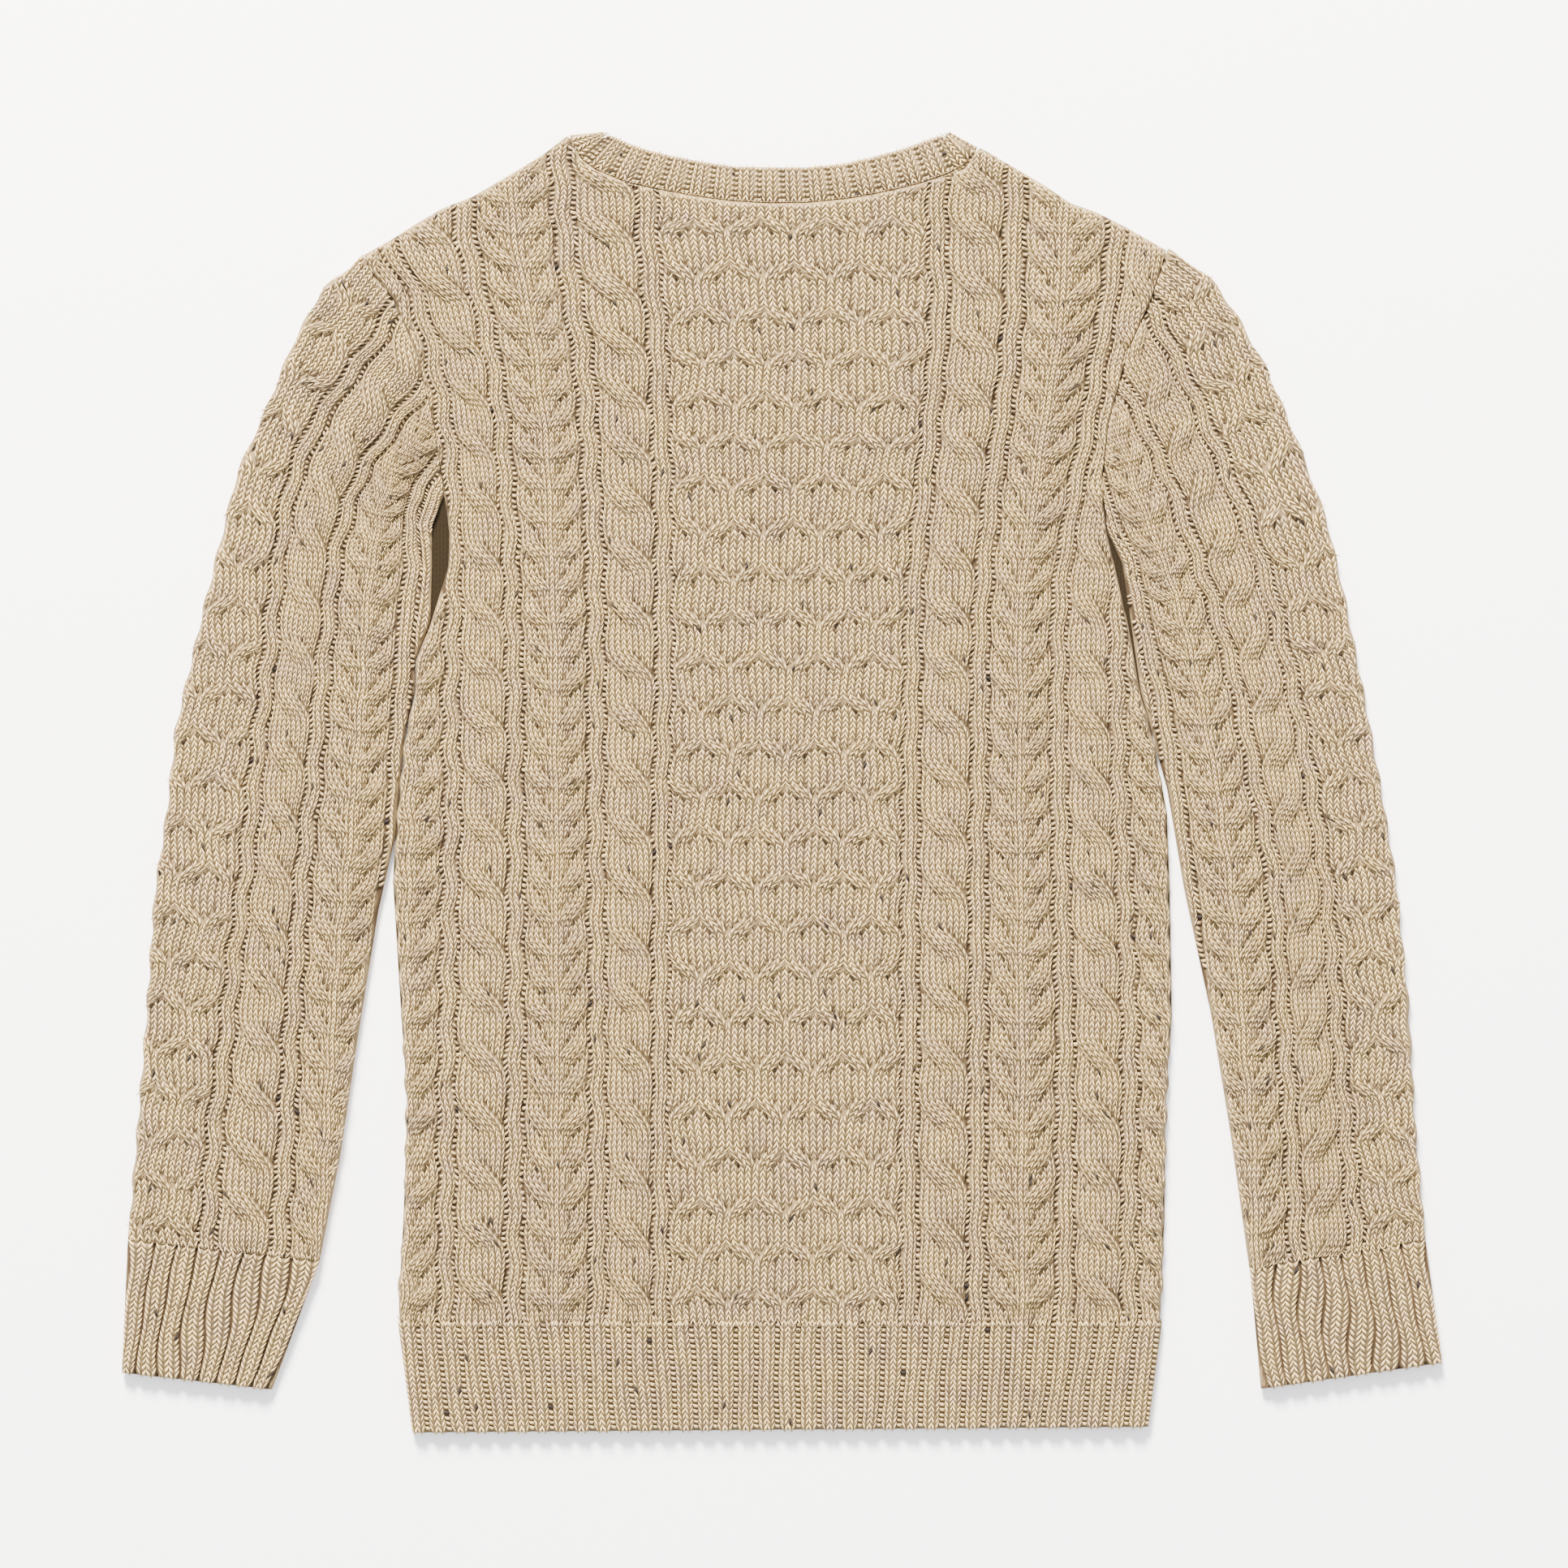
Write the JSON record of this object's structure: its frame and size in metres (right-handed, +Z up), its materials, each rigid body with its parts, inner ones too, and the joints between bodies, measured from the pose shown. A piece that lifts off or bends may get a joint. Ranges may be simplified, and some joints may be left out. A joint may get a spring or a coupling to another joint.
{
  "type": "fisherman sweater",
  "caption": "Crew-neck cable-knit fisherman sweater laid flat with its back up: rope, horseshoe and honeycomb cables, ribbed hem, cuffs and neckband, sleeves beside the body.",
  "frame": {"origin": "centre of the garment's bounding box, on the surface that it lies on", "axes": "+Z up from the surface, through the front and then the back; +Y from hem to neck; +X to the right of a viewer who looks down on the back"},
  "size_m": [0.7484, 0.7374, 0.0096],
  "materials": {
    "wool_body": "heathered oatmeal yarn, matt, cable knit",
    "wool_rib": "heathered oatmeal yarn, matt, two-by-two rib"
  },
  "bodies": {
    "root": {"back_panel": "wool_body", "front_panel": "wool_body", "back_hem_rib": "wool_rib", "front_hem_rib": "wool_rib", "sleeve_left": "wool_body", "sleeve_right": "wool_body", "cuff_left": "wool_rib", "cuff_right": "wool_rib", "neckband": "wool_rib"}
  },
  "joints": []
}
